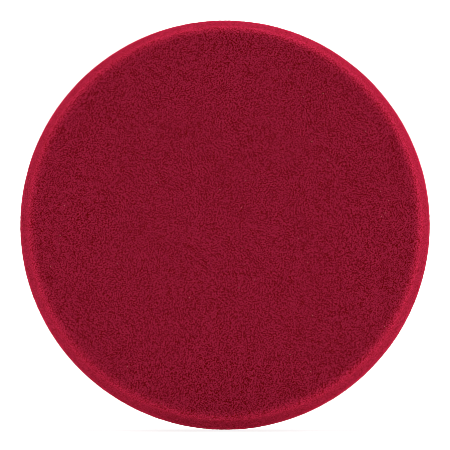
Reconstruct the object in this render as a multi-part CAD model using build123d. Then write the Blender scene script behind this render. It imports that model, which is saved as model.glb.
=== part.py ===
"""Foam polishing pad for a dual action polisher.

A disc of cut open-cell foam whose wall flares out from the working face to a wide skirt, with a
disc of hook-and-loop cloth bonded to its back: adhesive film, knitted ground cloth, loop pile.

Frame: the pad stands on edge. The origin is the centre of the loop face, where a backing plate
takes hold. +Y is the pad's axis and points out of the loop face, the working face looks along -Y,
and +Z is up. Every piece is a body of revolution about Y. All sizes are in millimetres.
"""

import os
from math import sqrt

from build123d import *

# Foam disc
FOAM_DIAMETER = 160.0  # at the skirt, where the foam is widest
FOAM_THICKNESS = 22.0
FACE_INSET = 7.2  # how far inside the skirt the flat of the working face ends
FACE_EDGE_RADIUS = 3.0  # rounding between the working face and the wall
SKIRT_RADIUS = 2.0  # rounding of the skirt, between the wall and the bevel behind it
BACK_BEVEL = 3.0  # how far the back's corner lies inside the skirt, and how far behind it

# Hook-and-loop backing
BACKING_INSET = 2.0  # bare foam left between the bevel and the edge of the backing
ADHESIVE_THICKNESS = 0.3
GROUND_CLOTH_THICKNESS = 0.6
PILE_HEIGHT = 1.6
PILE_EDGE_RADIUS = 0.7  # the loops lean over at the cut edge, which rounds the pile's rim

# Planes across the axis, from the loop face at Y = 0 to the working face
GROUND_CLOTH_BACK = -PILE_HEIGHT
ADHESIVE_BACK = GROUND_CLOTH_BACK - GROUND_CLOTH_THICKNESS
FOAM_BACK = ADHESIVE_BACK - ADHESIVE_THICKNESS
WORKING_FACE = FOAM_BACK - FOAM_THICKNESS

# Radii from the axis
SKIRT_R = FOAM_DIAMETER / 2
FOAM_BACK_R = SKIRT_R - BACK_BEVEL
BACKING_R = FOAM_BACK_R - BACKING_INSET

# A fillet takes at most this share of the layer that it rounds.
FILLET_SHARE = 0.45


def wall_between(near, near_radius, far, far_radius):
    """The straight wall that touches two rounded corners, and the way that it faces."""
    along = (far - near).normalized()
    outward = Vector(-along.Y, along.X)
    lean = (near_radius - far_radius) / (far - near).length
    facing = along * lean + outward * sqrt(1 - lean**2)
    return Line(near + facing * near_radius, far + facing * far_radius), facing


def corner_arc(centre, radius, start_facing, end_facing):
    """A rounded corner, from the wall that faces one way to the wall that faces the other."""
    middle = (start_facing + end_facing).normalized()
    return ThreePointArc(*(centre + way * radius for way in (start_facing, middle, end_facing)))


def foam_disc():
    """The cut foam: bevelled back, rounded skirt, flared wall, rounded edge, flat working face."""
    back_corner = Vector(FOAM_BACK_R, FOAM_BACK)
    skirt = Vector(SKIRT_R - SKIRT_RADIUS, FOAM_BACK - BACK_BEVEL)
    face_edge = Vector(SKIRT_R - FACE_INSET, WORKING_FACE + FACE_EDGE_RADIUS)
    bevel, bevel_facing = wall_between(back_corner, 0, skirt, SKIRT_RADIUS)
    wall, wall_facing = wall_between(skirt, SKIRT_RADIUS, face_edge, FACE_EDGE_RADIUS)
    face_facing = Vector(0, -1)
    outline = [
        Line((0, FOAM_BACK), back_corner),
        bevel,
        corner_arc(skirt, SKIRT_RADIUS, bevel_facing, wall_facing),
        wall,
        corner_arc(face_edge, FACE_EDGE_RADIUS, wall_facing, face_facing),
        Line((face_edge.X, WORKING_FACE), (0, WORKING_FACE)),
        Line((0, WORKING_FACE), (0, FOAM_BACK)),
    ]
    return revolve(make_face(outline), Axis.Y)


def backing_layer(front, back):
    """The outline of one layer of the backing, from the axis to the edge that the die cut."""
    return Pos(BACKING_R / 2, (front + back) / 2) * Rectangle(BACKING_R, back - front)


def loop_pile():
    """The envelope of the loops, rounded at the rim of the side that the plate grips."""
    outline = backing_layer(GROUND_CLOTH_BACK, 0)
    rim = outline.vertices().sort_by_distance(Vector(BACKING_R, 0))[0]
    return revolve(fillet(rim, min(PILE_EDGE_RADIUS, FILLET_SHARE * PILE_HEIGHT)), Axis.Y)


PIECES = {
    "foam_disc": foam_disc(),
    "adhesive_film": revolve(backing_layer(FOAM_BACK, ADHESIVE_BACK), Axis.Y),
    "loop_ground_cloth": revolve(backing_layer(ADHESIVE_BACK, GROUND_CLOTH_BACK), Axis.Y),
    "loop_pile": loop_pile(),
}

os.makedirs("parts", exist_ok=True)
for name, piece in PIECES.items():
    export_step(piece, f"parts/{name}.step")
    size = piece.bounding_box().size
    print(f"{name}: {piece.volume:.0f} mm3, {size.X:.2f} x {size.Y:.2f} x {size.Z:.2f} mm")
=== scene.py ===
"""Foam polishing pad with a hook-and-loop backing, its materials and a plain white studio.

Laid out as an add-on: the settings hold the sizes and colours, an operator makes each piece, and
main() runs them around the fixed frame. All sizes are in metres. The pad's axis is Y, the working
face looks along -Y, the loop face along +Y, and Z is up.
"""

import math
import random

import bpy
import numpy as np
from bpy.props import FloatProperty, FloatVectorProperty, IntProperty, PointerProperty
from mathutils import Matrix, Vector


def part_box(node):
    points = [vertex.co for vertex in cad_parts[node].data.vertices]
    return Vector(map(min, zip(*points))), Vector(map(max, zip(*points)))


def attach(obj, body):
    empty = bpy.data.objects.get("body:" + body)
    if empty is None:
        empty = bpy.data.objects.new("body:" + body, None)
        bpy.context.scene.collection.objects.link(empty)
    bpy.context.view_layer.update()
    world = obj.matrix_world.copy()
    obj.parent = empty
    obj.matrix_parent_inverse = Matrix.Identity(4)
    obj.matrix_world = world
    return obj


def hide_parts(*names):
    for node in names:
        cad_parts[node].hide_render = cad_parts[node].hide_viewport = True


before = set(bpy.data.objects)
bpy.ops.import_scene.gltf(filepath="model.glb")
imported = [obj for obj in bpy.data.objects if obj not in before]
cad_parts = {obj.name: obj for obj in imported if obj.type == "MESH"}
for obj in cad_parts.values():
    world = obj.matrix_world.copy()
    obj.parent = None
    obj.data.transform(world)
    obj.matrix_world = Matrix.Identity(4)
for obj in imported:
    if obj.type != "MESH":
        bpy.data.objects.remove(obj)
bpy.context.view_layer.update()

bl_info = {
    "name": "Foam Polishing Pad",
    "version": (1, 0, 0),
    "blender": (4, 5, 0),
    "location": "View3D > Sidebar > Foam Pad",
    "description": "Makes a foam polishing pad with a hook-and-loop backing",
    "category": "Mesh",
}

MM = 0.001
BAKE_MAP = "OFBake"  # each piece's own map goes under this name
CHART_REACH = 0.49  # a round chart fills its square map up to this far from the middle


# ---------------------------------------------------------------- settings


def length(name, description, default, **limits):
    look = {"precision": 5, "subtype": "DISTANCE", "unit": "LENGTH", **(limits or {"min": 0})}
    return FloatProperty(name=name, description=description, default=default, **look)


def colour(name, description, default):
    look = {"size": 3, "min": 0, "max": 1, "subtype": "COLOR"}
    return FloatVectorProperty(name=name, description=description, default=default, **look)


def share(name, description, default):
    look = {"min": 0, "max": 1, "subtype": "FACTOR"}
    return FloatProperty(name=name, description=description, default=default, **look)


def number(name, description, default):
    return FloatProperty(name=name, description=description, default=default, min=0)


def count(name, description, default):
    return IntProperty(name=name, description=description, default=default, min=1)


def angle(name, description, default):
    turn = math.radians(default)
    return FloatProperty(name=name, description=description, default=turn, subtype="ANGLE")


class FoamSettings(bpy.types.PropertyGroup):
    """Sizes and colours of the cut foam. Its width and depth come from the frame."""

    face_inset: length("Face inset", "How far inside the skirt the flat of the face ends", 7.2 * MM)
    face_edge_radius: length("Face edge radius", "Rounding between the face and the wall", 3.0 * MM)
    skirt_radius: length("Skirt radius", "Rounding where the foam is widest", 2.0 * MM)
    back_bevel: length("Back bevel", "How far the back's corner lies inside and behind the skirt", 3.0 * MM)
    bare_back: length("Bare back", "Width of the foam modelled behind the bevel", 3.2 * MM)
    cell: length("Cell size", "Width of one open cell", 0.44 * MM)
    roughness_depth: length("Surface depth", "How deep the cut cells roughen the surface", 0.16 * MM)
    waviness: length("Waviness", "How far the cut wanders from a true surface", 0.10 * MM)
    cells_across: count("Mesh cells", "Mesh cells across the face", 225)
    # Painted shade: the colour deep inside an open cell is the foam darkened by the shade there
    pore_shade_colour: colour("Pore colour", "Deep inside an open cell", (0.158, 0.0022, 0.0010))
    strand_colour: colour("Strand colour", "The strands between the cells", (0.492, 0.0205, 0.0665))
    hue_colour: colour("Hue colour", "The rose that some cells lean to", (0.190, 0.0060, 0.0520))
    fuzz_colour: colour("Fuzz colour", "The fuzz of cut strands, seen along the surface", (0.95, 0.04, 0.09))
    fleck_colour: colour("Fleck colour", "Sparse pale flecks", (0.620, 0.230, 0.190))
    # A painted highlight: the rounded edge of the face is drawn brighter where the light catches it
    ridge_highlight_gain: share("Ridge gain", "How much brighter the painted highlight on the face's rounded edge is", 0.24)
    # A painted highlight: the thin edge of the skirt is drawn brighter, as if lit through from behind
    skirt_highlight_gain: share("Skirt gain", "How much brighter the thin edge of the skirt is", 0.45)
    wall_mottle: share("Wall mottle", "How unevenly the knife left the wall", 0.30)
    fleck_spacing: length("Fleck spacing", "From one pale fleck to the next, through the foam", 5.1 * MM)


class BackingSettings(bpy.types.PropertyGroup):
    """Sizes and colours of the film, cloth and loops. Their places come from the frame."""

    wale: length("Wale pitch", "From one row of loops to the next", 0.90 * MM)
    course: length("Course pitch", "From one loop to the next along a row", 0.78 * MM)
    loop_width: length("Loop width", "Across the two legs of a loop", 1.20 * MM)
    yarn: length("Yarn width", "Thickness of the yarn of a loop", 0.19 * MM)
    mat_depth: length("Mat depth", "Tangle of filaments between the feet of the loops", 0.20 * MM)
    mat_inset: length("Mat inset", "From the edge of the backing to the mat", 0.60 * MM)
    row_groups: count("Row groups", "Pieces that the loops are shared among", 5)
    loop_colour: colour("Loop colour", "Brushed loops at their tops", (0.230, 0.230, 0.242))
    # Painted shade: the loops are drawn darker towards their feet and on the mat between them, where shade
    # falls
    foot_shade_colour: colour("Foot colour", "The feet of the loops and the mat round them", (0.035, 0.035, 0.039))
    ground_colour: colour("Ground colour", "Knitted cloth under the loops", (0.045, 0.045, 0.050))
    film_colour: colour("Film colour", "Hot-melt film at the edge", (0.55, 0.42, 0.26))


class StageSettings(bpy.types.PropertyGroup):
    """The camera, the lights and the floor."""

    distance: length("Camera distance", "From the camera to the skirt", 1.0)
    view_width: length("View width", "What the camera takes in across the skirt", 175.4 * MM)
    aim_height: length("Aim height", "Where the camera aims, up from the axis", -0.3 * MM, min=-1)
    aim_depth: length("Aim depth", "Where the camera aims, in front of the foam's back", 5.5 * MM)
    elevation: angle("Camera elevation", "How far the camera stands above the pad's axis", -2.2)
    floor_colour: colour("Floor colour", "Plain pale floor", (0.90, 0.90, 0.90))
    floor_lift: share("Floor lift", "How far the camera sees the near floor lifted to white", 0.55)
    background: number("Background", "Brightness behind the floor", 1.16)
    edge_softness: number("Edge softness", "Width of the filter that smooths the picture's edges", 0.7)


GROUPS = {
    "foam_pad_foam": FoamSettings,
    "foam_pad_backing": BackingSettings,
    "foam_pad_stage": StageSettings,
}


# ---------------------------------------------------------------- shader maths


class Value:
    """What a node gives. Arithmetic on it adds Math nodes to the same material."""

    def __init__(self, shader, socket):
        self.shader = shader
        self.socket = socket

    def maths(self, operation, *inputs):
        return self.shader.node("ShaderNodeMath", {"operation": operation}, dict(enumerate(inputs)))

    def __add__(self, other):
        return self.maths("ADD", self, other)

    def __sub__(self, other):
        return self.maths("SUBTRACT", self, other)

    def __rsub__(self, other):
        return self.maths("SUBTRACT", other, self)

    def __mul__(self, other):
        return self.maths("MULTIPLY", self, other)

    def __pow__(self, other):
        return self.maths("POWER", self, other)

    __radd__ = __add__
    __rmul__ = __mul__

    def wave(self):
        """A sine, from -1 to 1."""
        return self.maths("SINE", self)

    def clamped(self):
        return self.maths("MAXIMUM", self.maths("MINIMUM", self, 1), 0)

    def ramp(self, low, high):
        """0 below low, 1 above high, and smooth between. The other way round if low is the larger."""
        ends = {1: low, 2: high, 3: 0, 4: 1} if low < high else {1: high, 2: low, 3: 1, 4: 0}
        smooth = {"interpolation_type": "SMOOTHSTEP"}
        return self.shader.node("ShaderNodeMapRange", smooth, {0: self, **ends})


class Shader:
    """The node tree of a material or world."""

    def __init__(self, owner):
        owner.use_nodes = True
        self.tree = owner.node_tree
        self.tree.nodes.clear()

    def node(self, kind, settings=None, inputs=None, output=0):
        """Adds a node, with its settings set first, and returns one of its outputs."""
        made = self.tree.nodes.new(kind)
        for name, value in (settings or {}).items():
            setattr(made, name, value)
        for name, value in (inputs or {}).items():
            if isinstance(value, Value):
                self.tree.links.new(value.socket, made.inputs[name])
            elif hasattr(value, "__len__") and len(value) == 3 and made.inputs[name].type == "RGBA":
                made.inputs[name].default_value = (*value, 1)
            else:
                made.inputs[name].default_value = value
        return Value(self, made.outputs[output]) if made.outputs else None

    def mix(self, factor, first, second):
        """A colour between first, where the factor is 0, and second, where it is 1."""
        return self.node("ShaderNodeMix", {"data_type": "RGBA"}, {0: factor, 6: first, 7: second}, 2)

    def scaled(self, colour, factor):
        """A colour made brighter or darker, with its hue kept."""
        return self.node("ShaderNodeVectorMath", {"operation": "SCALE"}, {0: colour, "Scale": factor})

    def place(self):
        """Where a point is, in the pad's own frame."""
        return self.node("ShaderNodeTexCoord", output="Object")

    def askew(self, place):
        """The place turned off the axes, so that the lattice under a pattern doesn't show as rows."""
        return self.node("ShaderNodeMapping", None, {"Vector": place, "Rotation": (0.6, 0.5, 0.9)})

    def noise(self, place, size, detail, output=0):
        inputs = {"Vector": place, "Scale": 1 / size, "Detail": detail}
        return self.node("ShaderNodeTexNoise", None, inputs, output)

    def cells(self, place, size, feature="F1", output="Distance"):
        inputs = {"Vector": place, "Scale": 1 / size}
        return self.node("ShaderNodeTexVoronoi", {"feature": feature}, inputs, output)

    def shifted(self, place, by, amount):
        """The place moved by a colour's three parts, up to half the amount each way."""
        centred = self.node("ShaderNodeVectorMath", {"operation": "SUBTRACT"}, {0: by, 1: (0.5, 0.5, 0.5)})
        step = self.node("ShaderNodeVectorMath", {"operation": "SCALE"}, {0: centred, "Scale": amount})
        return self.node("ShaderNodeVectorMath", {"operation": "ADD"}, {0: place, 1: step})

    def parts(self, place):
        """The three numbers of a place."""
        split = self.node("ShaderNodeSeparateXYZ", None, {0: place})
        return [Value(self, socket) for socket in split.socket.node.outputs]

    def bump(self, height, depth, strength=1.0):
        inputs = {"Height": height, "Distance": depth, "Strength": strength}
        return self.node("ShaderNodeBump", None, inputs)

    def surface(self, base, roughness, **sockets):
        """A Principled surface as the material's output. Socket names are given with underscores."""
        inputs = {"Base Color": base, "Roughness": roughness}
        inputs.update({name.replace("_", " "): value for name, value in sockets.items()})
        made = self.node("ShaderNodeBsdfPrincipled", None, inputs)
        self.node("ShaderNodeOutputMaterial", None, {"Surface": made})


def material(name):
    made = bpy.data.materials.new(name)
    return made, Shader(made)


# ---------------------------------------------------------------- modelling


def deselect_all():
    if bpy.context.object and bpy.context.object.mode != "OBJECT":
        bpy.ops.object.mode_set(mode="OBJECT")
    bpy.ops.object.select_all(action="DESELECT")


def named(obj, name):
    obj.name = name
    obj.data.name = name
    return obj


def disc_place(a, b, radius):
    """Where a point of the square from -1 to 1 goes on a disc, so that all cells keep one area."""
    if a == 0 and b == 0:
        return 0.0, 0.0
    if abs(a) > abs(b):
        reach, turn = a, math.pi / 4 * b / a
    else:
        reach, turn = b, math.pi / 2 - math.pi / 4 * a / b
    return radius * reach * math.cos(turn), radius * reach * math.sin(turn)


def turned(name, cells, outline):
    """A closed body of revolution about Y: a disc of even cells, whose rim is extruded along the outline.

    The outline is a list of (radius, y) points, and the disc fills the first of them.
    """
    radius, y = outline[0]
    deselect_all()
    bpy.ops.mesh.primitive_grid_add(
        x_subdivisions=cells, y_subdivisions=cells, size=2, rotation=(math.pi / 2, 0, 0)
    )
    obj = named(bpy.context.object, name)
    bpy.ops.object.transform_apply(location=True, rotation=True, scale=True)
    for vertex in obj.data.vertices:
        vertex.co.x, vertex.co.z = disc_place(vertex.co.x, vertex.co.z, radius)
        vertex.co.y = y
    bpy.context.tool_settings.mesh_select_mode = (False, True, False)
    bpy.ops.object.mode_set(mode="EDIT")
    bpy.ops.mesh.select_all(action="SELECT")
    bpy.ops.mesh.region_to_loop()
    for (r0, y0), (r1, y1) in zip(outline, outline[1:]):
        bpy.ops.mesh.extrude_edges_move(TRANSFORM_OT_translate={"value": (0, y1 - y0, 0)})
        bpy.ops.transform.resize(value=(r1 / r0, 1, r1 / r0), center_override=(0, y1, 0))
    bpy.ops.mesh.edge_face_add()
    bpy.ops.mesh.select_all(action="SELECT")
    bpy.ops.mesh.normals_make_consistent(inside=False)
    bpy.ops.mesh.faces_shade_smooth()
    bpy.ops.object.mode_set(mode="OBJECT")
    lay_out_round(obj, outline)
    return obj


def corner_points(mesh):
    """Where every corner of every face is, as an array of x, y, z."""
    corners = np.empty(len(mesh.loops), np.int32)
    mesh.loops.foreach_get("vertex_index", corners)
    places = np.empty(3 * len(mesh.vertices))
    mesh.vertices.foreach_get("co", places)
    return places.reshape(-1, 3)[corners]


def write_map(mesh, across, up):
    layer = mesh.uv_layers.new(name=BAKE_MAP)
    layer.data.foreach_set("uv", np.stack([across, up], 1).ravel())


def lay_out_round(obj, outline):
    """The piece's map: one round chart, the disc in its middle and the outline unrolled round it.

    The face that closes the far side is hidden on every piece, and has a corner of the map to itself.
    """
    steps = np.linalg.norm(np.diff(outline, axis=0), axis=1)
    runs = outline[0][0] + np.concatenate([[0], steps.cumsum()])
    x, y, z = corner_points(obj.data).T
    radius = np.hypot(x, z)
    gaps = [np.hypot(radius - r, y - level) for r, level in outline]
    run = np.where(np.isclose(y, outline[0][1]), radius, runs[np.argmin(gaps, axis=0)])
    scale = CHART_REACH * run / runs[-1] / np.maximum(radius, 1e-9)
    centre = np.full(len(x), 0.5)
    closing_scale, closing_centre = 0.1, 0.06
    closing = max(obj.data.polygons, key=lambda face: face.loop_total)
    for corner in closing.loop_indices:
        scale[corner] *= closing_scale
        centre[corner] = closing_centre
    write_map(obj.data, centre + x * scale, centre + z * scale)


def lay_out_flat(obj, reach):
    """The map of loops seen from above: straight down on them, as far as they reach from the axis."""
    x, _, z = corner_points(obj.data).T
    write_map(obj.data, 0.5 + CHART_REACH * x / reach, 0.5 + CHART_REACH * z / reach)


def arc(centre, radius, start, end, pitch):
    """Points round a centre from one direction to another, about a pitch apart, as (radius, y)."""
    turn = start.angle_signed(end)
    steps = max(2, round(abs(turn) * radius / pitch))
    spokes = [start.copy() for _ in range(steps + 1)]
    for step, spoke in enumerate(spokes):
        spoke.rotate(Matrix.Rotation(-turn * step / steps, 2))
    return [tuple(centre + spoke * radius) for spoke in spokes]


def straight(start, end, pitch):
    """Points after start up to end, about a pitch apart, as (radius, y)."""
    start, end = Vector(start), Vector(end)
    steps = max(1, round((end - start).length / pitch))
    return [tuple(start.lerp(end, (step + 1) / steps)) for step in range(steps)]


def facing_of_wall(near, near_radius, far, far_radius):
    """The way that the straight wall touching two rounded corners faces."""
    along = (far - near).normalized()
    lean = (near_radius - far_radius) / (far - near).length
    return along * lean + Vector((along.y, -along.x)) * math.sqrt(1 - lean**2)


def relief(obj, name, size, depth, octaves):
    """Roughens a piece with clouds of one size, and finer ones over it, by a Displace modifier."""
    pattern = bpy.data.textures.new(name, "CLOUDS")
    pattern.noise_scale = size
    pattern.noise_depth = octaves
    bpy.context.view_layer.objects.active = obj
    bpy.ops.object.modifier_add(type="DISPLACE")
    modifier = obj.modifiers[-1]
    modifier.texture = pattern
    modifier.texture_coords = "LOCAL"
    modifier.strength = depth
    modifier.mid_level = 0.5
    bpy.ops.object.modifier_apply(modifier=modifier.name)


def finish_piece(obj, node, made):
    """Gives a piece its material and its place in the frame."""
    obj.data.materials.clear()
    obj.data.materials.append(made)
    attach(obj, "root")
    if node:
        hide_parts(node)


# ---------------------------------------------------------------- foam disc


def foam_outline(settings, pitch):
    """The foam's outline from the edge of the flat face, over the wall, to the back."""
    low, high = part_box("foam_disc")
    front, back, skirt_r = low.y, high.y, high.x
    skirt = Vector((skirt_r - settings.skirt_radius, back - settings.back_bevel))
    face_edge = Vector((skirt_r - settings.face_inset, front + settings.face_edge_radius))
    back_corner = Vector((skirt_r - settings.back_bevel, back))
    wall_faces = facing_of_wall(face_edge, settings.face_edge_radius, skirt, settings.skirt_radius)
    bevel_faces = facing_of_wall(skirt, settings.skirt_radius, back_corner, 0)
    outline = arc(face_edge, settings.face_edge_radius, Vector((0, -1)), wall_faces, pitch)
    outline += straight(outline[-1], skirt + wall_faces * settings.skirt_radius, pitch)
    outline += arc(skirt, settings.skirt_radius, wall_faces, bevel_faces, pitch)[1:]
    outline += straight(outline[-1], back_corner, pitch)
    outline += straight(outline[-1], back_corner - Vector((settings.bare_back, 0)), pitch)
    return outline


class PAD_OT_foam_disc(bpy.types.Operator):
    """Make the cut foam disc, with its flared wall, rounded face edge and open cells"""

    bl_idname = "foam_pad.foam_disc"
    bl_label = "Foam Disc"

    def execute(self, context):
        settings = context.scene.foam_pad_foam
        cut_cells = 0.55 * MM
        foam = turned("foam_disc_cut", settings.cells_across, foam_outline(settings, cut_cells))
        relief(foam, "Cut waviness", size=9 * MM, depth=settings.waviness, octaves=1)
        relief(foam, "Cut cells", size=cut_cells, depth=settings.roughness_depth, octaves=0)
        finish_piece(foam, "foam_disc", foam_material(settings))
        return {"FINISHED"}


def foam_material(settings):
    """Burgundy open-cell foam: bright strands round pores in painted shade, a weak fuzz, painted edge
    highlights and the knife's mottle.
    """
    made, shader = material("Burgundy open-cell foam")
    place = shader.place()
    cell = settings.cell
    askew = shader.askew(place)
    warped = shader.shifted(askew, shader.noise(askew, 3 * cell, 2, "Color"), 2.4 * cell)
    # Painted shade in the middle of each open cell
    pore_shade = shader.cells(warped, cell).ramp(0.5, 0.1)
    strand = shader.cells(warped, cell, "DISTANCE_TO_EDGE").ramp(0.16, 0.02)
    depth, hue, _ = shader.parts(shader.cells(warped, cell, output="Color"))
    depth = depth.ramp(0.2, 0.8)
    tangle = shader.noise(askew, 1.14 * cell, 1).ramp(0.36, 0.64)
    # Random grain from the tangle and the cells, with painted shade in the pores
    tone = (tangle * 0.8 + depth * 0.4 + strand * 0.25 - pore_shade * 0.16 - 0.15).clamped()
    base = shader.mix(tone, settings.pore_shade_colour, settings.strand_colour)
    base = shader.mix(hue.ramp(0.6, 1.0) * 0.14, base, settings.hue_colour)
    # Painted highlights along the face's rounded edge and the skirt, and the knife's random mottle on the
    # wall
    base = shader.scaled(base, 1 + painted_edge_light_and_knife_mottle(shader, place, settings))
    fleck = shader.cells(place, settings.fleck_spacing).ramp(0.045, 0.03)
    base = shader.mix(fleck, base, settings.fleck_colour)
    height = tangle * 0.4 + depth * 0.3 + strand * 0.3
    fuzz = {"Sheen_Weight": 0.20, "Sheen_Roughness": 0.30, "Sheen_Tint": settings.fuzz_colour}
    shader.surface(base, 0.95, Specular_IOR_Level=0, Normal=shader.bump(height, 0.12 * MM, 0.6), **fuzz)
    return made


def painted_edge_light_and_knife_mottle(shader, place, settings):
    """How much paler or darker the foam is drawn: painted highlights along the face's rounded edge and the
    thin skirt, where the light catches them, and a random mottle left by the knife on the wall between them."""
    low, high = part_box("foam_disc")
    x, y, z = shader.parts(place)
    across = (x * x + z * z) ** 0.5
    ridge = high.x - settings.face_inset + 0.5 * settings.face_edge_radius
    # Painted highlight on the face's rounded edge
    on_ridge = across.ramp(ridge - 3.2 * MM, ridge + 0.2 * MM) * y.ramp(low.y + 5 * MM, low.y + 2 * MM)
    # Painted highlight on the skirt's thin edge
    at_skirt = across.ramp(high.x - 1.2 * MM, high.x - 0.1 * MM)
    on_wall = y.ramp(low.y + 1.5 * MM, low.y + 4 * MM)
    mottle = shader.noise(place, 1.6 * MM, 2).ramp(0.3, 0.7) - 0.5
    painted_edge_highlight = on_ridge * settings.ridge_highlight_gain + at_skirt * settings.skirt_highlight_gain
    return painted_edge_highlight + on_wall * mottle * settings.wall_mottle


# ---------------------------------------------------------------- backing


def layer_outline(node, pitch, rim_radius):
    """The outline of a layer of the backing, from its loop side to its foam side."""
    low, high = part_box(node)
    reach = high.x
    corner = Vector((reach - rim_radius, high.y - rim_radius))
    outline = arc(corner, rim_radius, Vector((0, 1)), Vector((1, 0)), pitch)
    return outline + straight(outline[-1], (reach, low.y), pitch)


class PAD_OT_adhesive_film(bpy.types.Operator):
    """Make the hot-melt film between the foam and the cloth, with its squeezed-out edge"""

    bl_idname = "foam_pad.adhesive_film"
    bl_label = "Adhesive Film"

    def execute(self, context):
        settings = context.scene.foam_pad_backing
        outline = layer_outline("adhesive_film", pitch=0.15 * MM, rim_radius=0.1 * MM)
        film = turned("adhesive_film_melt", 60, outline)
        relief(film, "Squeezed edge", size=1.2 * MM, depth=0.12 * MM, octaves=1)
        finish_piece(film, "adhesive_film", film_material(settings))
        return {"FINISHED"}


def film_material(settings):
    made, shader = material("Hot-melt film")
    place = shader.place()
    cloud = shader.noise(place, 1.5 * MM, 3)
    darker = [0.6 * part for part in settings.film_colour]
    base = shader.mix(cloud, darker, settings.film_colour)
    shader.surface(base, 0.45, Normal=shader.bump(cloud, 0.1 * MM, 0.5))
    return made


class PAD_OT_ground_cloth(bpy.types.Operator):
    """Make the knitted cloth that carries the loops"""

    bl_idname = "foam_pad.ground_cloth"
    bl_label = "Ground Cloth"

    def execute(self, context):
        settings = context.scene.foam_pad_backing
        outline = layer_outline("loop_ground_cloth", pitch=0.2 * MM, rim_radius=0.15 * MM)
        cloth = turned("ground_cloth_knit", 100, outline)
        relief(cloth, "Knit", size=0.8 * MM, depth=0.1 * MM, octaves=1)
        finish_piece(cloth, "loop_ground_cloth", cloth_material(settings))
        return {"FINISHED"}


def cloth_material(settings):
    made, shader = material("Warp-knitted ground cloth")
    place = shader.place()
    x, _, z = shader.parts(place)
    wale = (x * (2 * math.pi / settings.wale)).wave()
    course = (z * (2 * math.pi / settings.course)).wave()
    knit = wale * 0.25 + course * 0.25 + shader.noise(place, 0.3 * MM, 2) * 0.5
    # Painted shade in the hollows of the knit
    knit_hollow_shade = [0.5 * part for part in settings.ground_colour]
    base = shader.mix(knit.clamped(), knit_hollow_shade, settings.ground_colour)
    shader.surface(base, 0.9, Specular_IOR_Level=0.2, Normal=shader.bump(knit, 0.2 * MM, 0.7))
    return made


class PAD_OT_loop_pile(bpy.types.Operator):
    """Make the brushed loops that the hooks of a backing plate grip"""

    bl_idname = "foam_pad.loop_pile"
    bl_label = "Loop Pile"

    def execute(self, context):
        settings = context.scene.foam_pad_backing
        low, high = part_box("loop_pile")
        reach, top = high.x - settings.mat_inset, low.y + settings.mat_depth
        outline = [(reach, top)] + straight((reach, top), (reach, low.y), pitch=0.2 * MM)
        mat = turned("loop_pile_mat", 170, outline)
        relief(mat, "Matted filaments", size=0.7 * MM, depth=0.2 * MM, octaves=2)
        # The mat lies at the loops' feet, so it takes their painted shade
        made = pile_material(settings, low.y, high.y)
        finish_piece(mat, "loop_pile", made)
        loop = self.one_loop(settings, high.y - low.y)
        for group in range(settings.row_groups):
            rows = self.loop_rows(settings, loop, low.y, high.x, group)
            lay_out_flat(rows, high.x)
            finish_piece(named(rows, f"loop_pile_rows_{group + 1}"), None, made)
        bpy.data.objects.remove(loop)
        return {"FINISHED"}

    @staticmethod
    def one_loop(settings, height):
        """A loop standing on Y: the top half of a ring, drawn out to its height and closed at its feet."""
        deselect_all()
        bpy.ops.mesh.primitive_torus_add(
            major_segments=10,
            minor_segments=3,
            major_radius=(settings.loop_width - settings.yarn) / 2,
            minor_radius=settings.yarn / 2,
        )
        loop = bpy.context.object
        bpy.ops.object.mode_set(mode="EDIT")
        bpy.ops.mesh.select_all(action="SELECT")
        bpy.ops.mesh.bisect(
            plane_co=(0, 0, 0), plane_no=(0, 1, 0), use_fill=True, clear_inner=True, threshold=1e-7
        )
        bpy.ops.mesh.select_all(action="SELECT")
        bpy.ops.transform.resize(value=(1, height / (settings.loop_width / 2), 1), center_override=(0, 0, 0))
        bpy.ops.object.mode_set(mode="OBJECT")
        return loop

    @staticmethod
    def loop_rows(settings, loop, foot, reach, group):
        """One piece of the pile: evenly spread rows, whose loops differ a little in turn, lean and size."""
        rng = random.Random(7 + group)
        stray = 0.3  # how far a loop may stand from its place, as a share of the pitch
        turned_by, leant_by, swayed_by = math.radians(50), math.radians(28), math.radians(14)
        rows = int(reach / settings.wale)
        steps = int(reach / settings.course)
        points = np.array([vertex.co for vertex in loop.data.vertices])
        faces = [tuple(face.vertices) for face in loop.data.polygons]
        places, polygons = [], []
        for row in range(-rows, rows + 1):
            if row % settings.row_groups != group:
                continue
            for step in range(-steps, steps + 1):
                x = (row + rng.uniform(-stray, stray)) * settings.wale
                z = (step + 0.5 * (row % 2) + rng.uniform(-stray, stray)) * settings.course
                turn = Matrix.Rotation(rng.gauss(0, turned_by), 3, "Y")
                lean = Matrix.Rotation(rng.gauss(0, leant_by), 3, "X")
                sway = Matrix.Rotation(rng.gauss(0, swayed_by), 3, "Z")
                size = (rng.uniform(0.75, 1.2), rng.uniform(0.55, 1.0), 1.0)
                if math.hypot(x, z) > reach - 0.5 * settings.loop_width:
                    continue
                start = len(places) * len(points)
                places.append((points * size) @ np.array(turn @ lean @ sway).T + (x, foot, z))
                polygons.extend(tuple(start + corner for corner in face) for face in faces)
        mesh = bpy.data.meshes.new("loop_rows")
        mesh.from_pydata(np.concatenate(places).tolist(), [], polygons)
        mesh.shade_smooth()
        piece = bpy.data.objects.new("loop_rows", mesh)
        bpy.context.scene.collection.objects.link(piece)
        return piece


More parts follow.
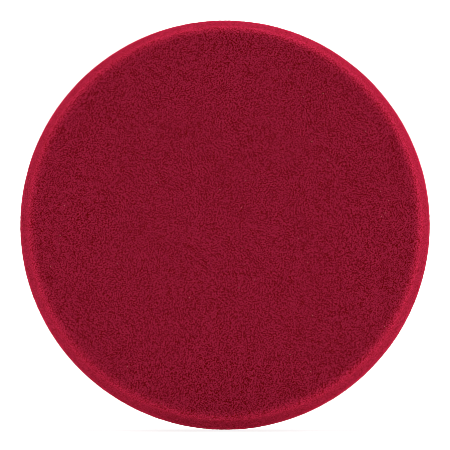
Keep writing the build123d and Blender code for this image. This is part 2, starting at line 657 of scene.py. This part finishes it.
def pile_material(settings, foot, top):
    """Brushed polyamide loops: painted shade darkens them towards their feet and on the mat between them, so
    they are pale at their tops, in faint rows and clumps.
    """
    made, shader = material("Brushed loops")
    place = shader.place()
    x, y, _ = shader.parts(place)
    # Painted shade: darker the lower a point lies in the pile
    height = y.ramp(foot + 0.1 * (top - foot), foot + 0.75 * (top - foot))
    fibre = shader.noise(place, 0.35 * MM, 2).ramp(0.3, 0.7)
    clump = shader.noise(place, 3.5 * MM, 2).ramp(0.3, 0.7)
    rows = (x * (math.pi / settings.wale / 2)).wave()
    tone = height * 0.65 + fibre * 0.25 + clump * 0.22 + rows * 0.05 - 0.12
    base = shader.mix(tone.clamped(), settings.foot_shade_colour, settings.loop_colour)
    shader.surface(base, 0.7, Specular_IOR_Level=0.35, Normal=shader.bump(fibre, 0.08 * MM, 0.5))
    return made


# ---------------------------------------------------------------- stage


LIGHTS = {
    # name: (place, width and height, power in watts)
    "top_softbox": ((0.3, 0.15, 2.3), (1.6, 1.0), 36),
    "right_high_softbox": ((1.8, 0.15, 1.5), (1.2, 1.0), 30),
    "right_softbox": ((2.3, 0.1, 0.5), (1.2, 1.0), 15),
    "left_high_softbox": ((-1.7, 0.1, 1.6), (1.2, 1.0), 35.5),
    "left_softbox": ((-2.3, 0.1, 0.5), (1.2, 1.0), 1),
    "rear_fill": ((0.4, 3.0, 1.0), (2.6, 2.0), 30),
}


class PAD_OT_stage(bpy.types.Operator):
    """Make the floor, the soft lights, the white surroundings and the camera"""

    bl_idname = "foam_pad.stage"
    bl_label = "Stage"

    def execute(self, context):
        settings = context.scene.foam_pad_stage
        low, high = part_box("foam_disc")
        self.make_floor(settings, low.z)
        for name, (place, size, power) in LIGHTS.items():
            self.make_light(name, Vector(place), size, power)
        self.make_world(context.scene, settings)
        self.make_camera(context.scene, settings, high)
        context.scene.view_settings.view_transform = "Standard"
        context.scene.cycles.filter_width = settings.edge_softness
        return {"FINISHED"}

    @staticmethod
    def make_floor(settings, height):
        """A pale floor that grows white with distance, where it meets the white surroundings.

        Seen by the camera it is whiter still, so that the shadow under the pad stays faint.
        """
        deselect_all()
        bpy.ops.mesh.primitive_circle_add(vertices=96, radius=12, fill_type="NGON", location=(0, 0, height))
        floor = named(bpy.context.object, "floor")
        made, shader = material("Pale floor")
        reach = shader.node("ShaderNodeVectorMath", {"operation": "LENGTH"}, {0: shader.place()}, "Value")
        inputs = {"Base Color": settings.floor_colour, "Roughness": 0.9, "Specular IOR Level": 0}
        near = shader.node("ShaderNodeBsdfPrincipled", None, inputs)
        far = shader.node("ShaderNodeEmission", None, {"Color": (1, 1, 1), "Strength": settings.background})
        glow = reach.ramp(-0.9, 1.1)  # nearly half under the pad, and whole from 1.1 m on
        seen = shader.node("ShaderNodeLightPath", output="Is Camera Ray")
        share_of_far = glow + (1 - glow) * seen * settings.floor_lift
        both = shader.node("ShaderNodeMixShader", None, {0: share_of_far, 1: near, 2: far})
        shader.node("ShaderNodeOutputMaterial", None, {"Surface": both})
        floor.data.materials.append(made)

    @staticmethod
    def make_light(name, place, size, power):
        deselect_all()
        facing = (-place).to_track_quat("-Z", "Y").to_euler()
        bpy.ops.object.light_add(type="AREA", location=place, rotation=facing)
        light = bpy.context.object
        light.name = name
        light.data.shape = "RECTANGLE"
        light.data.size, light.data.size_y = size
        light.data.energy = power
        light.visible_camera = False

    @staticmethod
    def make_world(scene, settings):
        """White to the camera alone, so that only the soft lights and the floor light the pad."""
        world = bpy.data.worlds.new("White studio")
        scene.world = world
        shader = Shader(world)
        seen = shader.node("ShaderNodeLightPath", output="Is Camera Ray")
        white = {"Color": (1, 1, 1), "Strength": seen * settings.background}
        shown = shader.node("ShaderNodeBackground", None, white)
        shader.node("ShaderNodeOutputWorld", None, {"Surface": shown})

    @staticmethod
    def make_camera(scene, settings, high):
        aim = Vector((0, high.y - settings.aim_depth, settings.aim_height))
        back = Vector((0, -math.cos(settings.elevation), math.sin(settings.elevation)))
        deselect_all()
        bpy.ops.object.camera_add(
            location=aim + back * settings.distance, rotation=(-back).to_track_quat("-Z", "Y").to_euler()
        )
        camera = bpy.context.object
        camera.data.lens = camera.data.sensor_width * settings.distance / settings.view_width
        scene.camera = camera


# ---------------------------------------------------------------- panel and registration


OPERATORS = (
    PAD_OT_foam_disc,
    PAD_OT_adhesive_film,
    PAD_OT_ground_cloth,
    PAD_OT_loop_pile,
    PAD_OT_stage,
)


class PAD_PT_panel(bpy.types.Panel):
    """Lists the pad's pieces and its stage"""

    bl_label = "Foam Polishing Pad"
    bl_idname = "PAD_PT_panel"
    bl_space_type = "VIEW_3D"
    bl_region_type = "UI"
    bl_category = "Foam Pad"

    def draw(self, context):
        for operator in OPERATORS:
            self.layout.operator(operator.bl_idname)


CLASSES = (*GROUPS.values(), *OPERATORS, PAD_PT_panel)


def register():
    for cls in CLASSES:
        bpy.utils.register_class(cls)
    for name, group in GROUPS.items():
        setattr(bpy.types.Scene, name, PointerProperty(type=group))


def unregister():
    for name in GROUPS:
        delattr(bpy.types.Scene, name)
    for cls in reversed(CLASSES):
        bpy.utils.unregister_class(cls)


def main():
    register()
    bpy.ops.foam_pad.foam_disc()
    bpy.ops.foam_pad.adhesive_film()
    bpy.ops.foam_pad.ground_cloth()
    bpy.ops.foam_pad.loop_pile()
    bpy.ops.foam_pad.stage()


if __name__ == "__main__":
    main()
